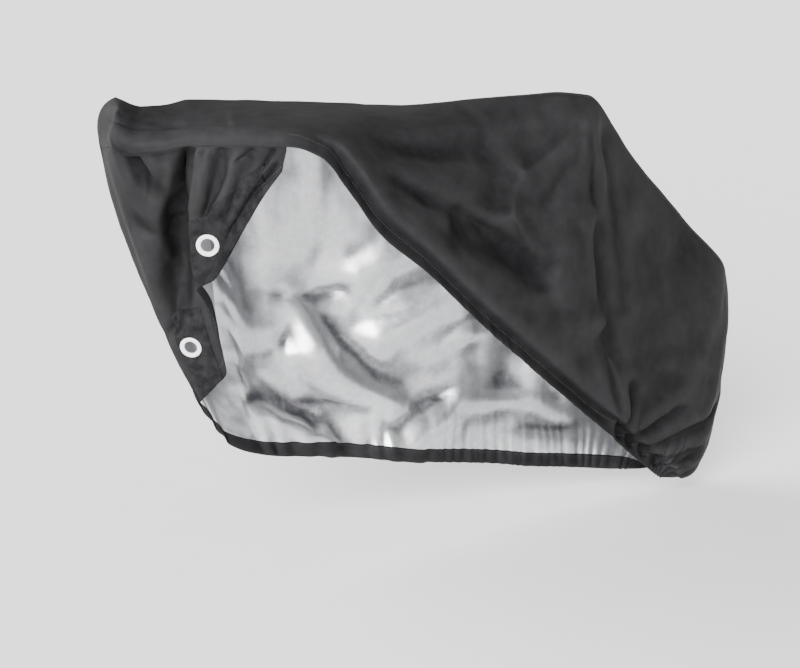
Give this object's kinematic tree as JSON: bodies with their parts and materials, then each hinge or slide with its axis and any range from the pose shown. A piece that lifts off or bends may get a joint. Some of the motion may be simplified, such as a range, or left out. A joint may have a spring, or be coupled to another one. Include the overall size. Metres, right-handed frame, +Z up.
{
  "type": "bicycle cover",
  "caption": "Hooded cloth cover as it hangs over a bicycle, one side drawn up, its front corners reinforced and holed for a lock.",
  "frame": {"origin": "top of the saddle that holds the cover up, just under its crest", "axes": "+X to the bicycle's rear, +Y to the side where the cover hangs right down, +Z up"},
  "size_m": [1.5754, 0.4963, 1.0604],
  "materials": {
    "coated_cloth": "satin coated, black outside",
    "patch_cloth": "matt woven, black",
    "eyelet_plastic": "satin white"
  },
  "bodies": {
    "root": {"near_panel": "coated_cloth", "far_panel": "coated_cloth", "lock_patch_near": "patch_cloth", "lock_patch_far": "patch_cloth", "eyelet_near": "eyelet_plastic", "eyelet_far": "eyelet_plastic"}
  },
  "joints": []
}
